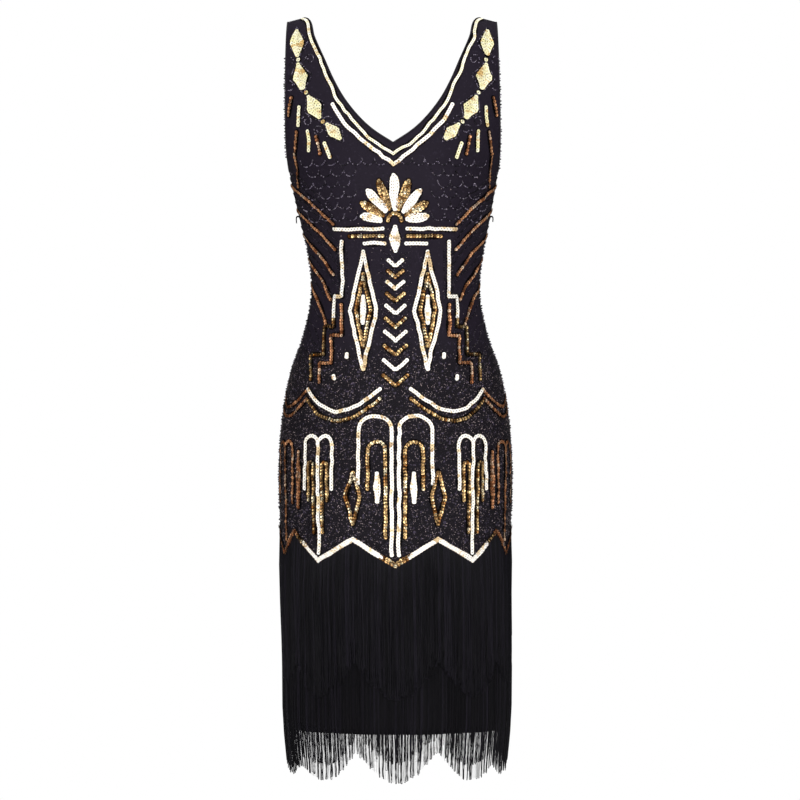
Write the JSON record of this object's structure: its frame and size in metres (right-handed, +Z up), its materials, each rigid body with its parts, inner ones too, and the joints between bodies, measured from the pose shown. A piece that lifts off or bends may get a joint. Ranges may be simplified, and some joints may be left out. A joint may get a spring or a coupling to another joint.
{
  "type": "flapper dress",
  "caption": "Sleeveless knee-length V-neck dress of beaded net in its hollow worn form, with a slip skirt showing below and tiers of zigzag thread fringe at the hem.",
  "frame": {"origin": "midway between the two shoulder straps, at the height where the neck edges of the straps cross the shoulders and above the shoulder seams", "axes": "+Z up, +X towards the wearer's left side, -Y out of the front of the dress"},
  "size_m": [0.3264, 0.2436, 1.0591],
  "materials": {
    "beaded_net": "net covered in black, gold and copper sequins",
    "slip_jersey": "matt jersey",
    "rayon_fringe": "silky twisted thread"
  },
  "bodies": {
    "root": {"front_panel": "beaded_net", "back_panel": "beaded_net", "slip_front": "slip_jersey", "slip_back": "slip_jersey", "upper_fringe_front": "rayon_fringe", "upper_fringe_back": "rayon_fringe", "lower_fringe_front": "rayon_fringe", "lower_fringe_back": "rayon_fringe"}
  },
  "joints": []
}
